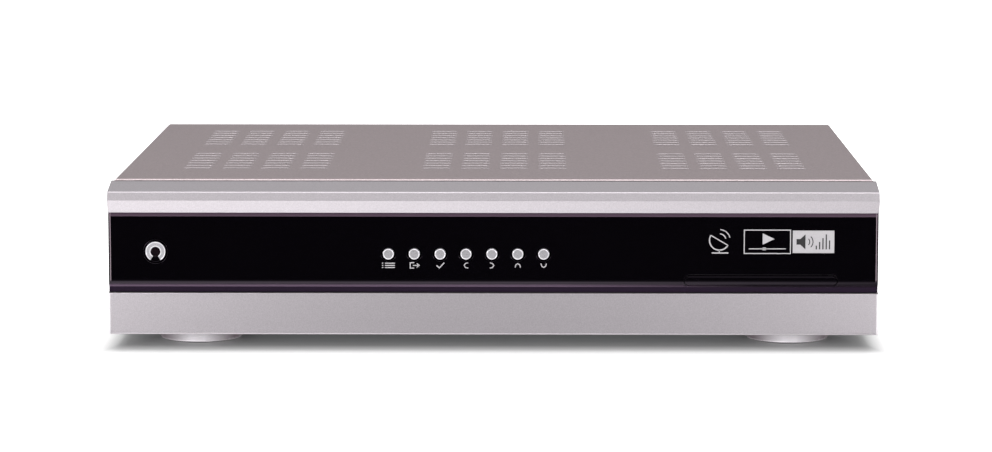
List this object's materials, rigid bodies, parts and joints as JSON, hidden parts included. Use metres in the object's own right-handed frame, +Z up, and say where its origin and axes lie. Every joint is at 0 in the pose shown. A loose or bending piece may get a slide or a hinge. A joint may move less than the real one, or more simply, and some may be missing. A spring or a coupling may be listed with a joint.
{
  "type": "satellite tv receiver",
  "caption": "Flat set-top satellite receiver: slotted sheet cover, silver bezel with black window, round push buttons, card slot, rear sockets and round feet.",
  "frame": {"origin": "on the standing surface, under the middle of the receiver's box", "axes": "+X along the width, to the right of someone facing the front; +Y to the rear; +Z up"},
  "size_m": [0.34, 0.277, 0.0748],
  "materials": {
    "silver_paint": "satin metallic silver paint on moulded plastic",
    "cover_steel": "fine-textured metallic grey powder coat",
    "black_acrylic": "polished black acrylic",
    "silver_caps": "metallised silver plastic",
    "smoked_lens": "smoked clear plastic",
    "zinc_steel": "zinc-plated sheet steel",
    "screw_steel": "nickel-plated steel",
    "foot_rubber": "matt black rubber",
    "board_green": "green solder resist on glass epoxy",
    "board_brown": "phenolic board",
    "black_plastic": "moulded black plastic",
    "display_red": "dark red display face",
    "heat_sink": "extruded aluminium",
    "socket_cream": "cream nylon",
    "ribbon": "grey ribbon cable",
    "lead_wires": "coloured wires",
    "can_tin": "tin-plated steel",
    "nickel": "nickel-plated brass",
    "ferrite": "sintered ferrite",
    "winding_tape": "yellow polyester tape",
    "capacitor_sleeve": "shrink sleeve",
    "copper_wire": "enamelled copper wire",
    "fuse_glass": "glass tube with plated caps"
  },
  "bodies": {
    "receiver": {"chassis_tray": "zinc_steel", "rear_panel": "zinc_steel", "top_cover": "cover_steel", "cover_screws": "screw_steel", "panel_screws": "screw_steel", "bezel_screws": "screw_steel", "foot_bodies": "silver_paint", "foot_pads": "foot_rubber", "foot_screws": "screw_steel", "front_bezel": "silver_paint", "front_window": "black_acrylic", "card_reader_base": "black_plastic", "card_reader_lid": "black_plastic", "card_board": "board_green", "front_board": "board_green", "tact_switches": "black_plastic", "digit_display": "display_red", "infrared_receiver": "smoked_lens", "status_light": "smoked_lens", "main_board": "board_green", "board_standoffs": "nickel", "board_screws": "screw_steel", "decoder_chip": "black_plastic", "decoder_heat_sink": "heat_sink", "memory_chips": "black_plastic", "board_sockets": "socket_cream", "ribbon_cable": "ribbon", "power_lead": "lead_wires", "tuner_can": "can_tin", "lnb_input": "nickel", "loop_output": "nickel", "modulator_can": "can_tin", "aerial_sockets": "nickel", "tv_scart": "black_plastic", "vcr_scart": "black_plastic", "phono_block": "black_plastic", "phono_shells": "nickel", "serial_port": "can_tin", "power_board": "board_brown", "transformer_core": "ferrite", "transformer_winding": "winding_tape", "power_capacitors": "capacitor_sleeve", "power_heat_sink": "heat_sink", "line_choke": "copper_wire", "mains_fuse": "fuse_glass", "mains_inlet": "black_plastic", "inlet_pins": "nickel", "switch_housing": "black_plastic"},
    "standby": {"standby_button": "black_acrylic", "standby_ring": "silver_caps", "standby_lens": "smoked_lens"},
    "menu": {"menu_button": "silver_caps"},
    "exit": {"exit_button": "silver_caps"},
    "ok": {"ok_button": "silver_caps"},
    "left": {"left_button": "silver_caps"},
    "right": {"right_button": "silver_caps"},
    "up": {"up_button": "silver_caps"},
    "down": {"down_button": "silver_caps"},
    "flap": {"card_flap": "black_acrylic"},
    "rocker": {"mains_rocker": "black_plastic"}
  },
  "joints": [
    {"name": "standby_press", "type": "slide", "parent": "receiver", "child": "standby", "axis": [0, 1, 0], "range_m": [0, 0.0005], "stiffness_N_per_m": 300},
    {"name": "menu_press", "type": "slide", "parent": "receiver", "child": "menu", "axis": [0, 1, 0], "range_m": [0, 0.0005], "stiffness_N_per_m": 300},
    {"name": "exit_press", "type": "slide", "parent": "receiver", "child": "exit", "axis": [0, 1, 0], "range_m": [0, 0.0005], "stiffness_N_per_m": 300},
    {"name": "ok_press", "type": "slide", "parent": "receiver", "child": "ok", "axis": [0, 1, 0], "range_m": [0, 0.0005], "stiffness_N_per_m": 300},
    {"name": "left_press", "type": "slide", "parent": "receiver", "child": "left", "axis": [0, 1, 0], "range_m": [0, 0.0005], "stiffness_N_per_m": 300},
    {"name": "right_press", "type": "slide", "parent": "receiver", "child": "right", "axis": [0, 1, 0], "range_m": [0, 0.0005], "stiffness_N_per_m": 300},
    {"name": "up_press", "type": "slide", "parent": "receiver", "child": "up", "axis": [0, 1, 0], "range_m": [0, 0.0005], "stiffness_N_per_m": 300},
    {"name": "down_press", "type": "slide", "parent": "receiver", "child": "down", "axis": [0, 1, 0], "range_m": [0, 0.0005], "stiffness_N_per_m": 300},
    {"name": "flap_hinge", "type": "hinge", "parent": "receiver", "child": "flap", "pos_m": [0.1182, -0.1348, 0.033], "axis": [1, 0, 0], "range_deg": [0, 80], "stiffness_Nm_per_rad": 0.0005},
    {"name": "rocker_tilt", "type": "hinge", "parent": "receiver", "child": "rocker", "pos_m": [-0.112, 0.1275, 0.0318], "axis": [1, 0, 0], "range_deg": [-18, 0]}
  ]
}
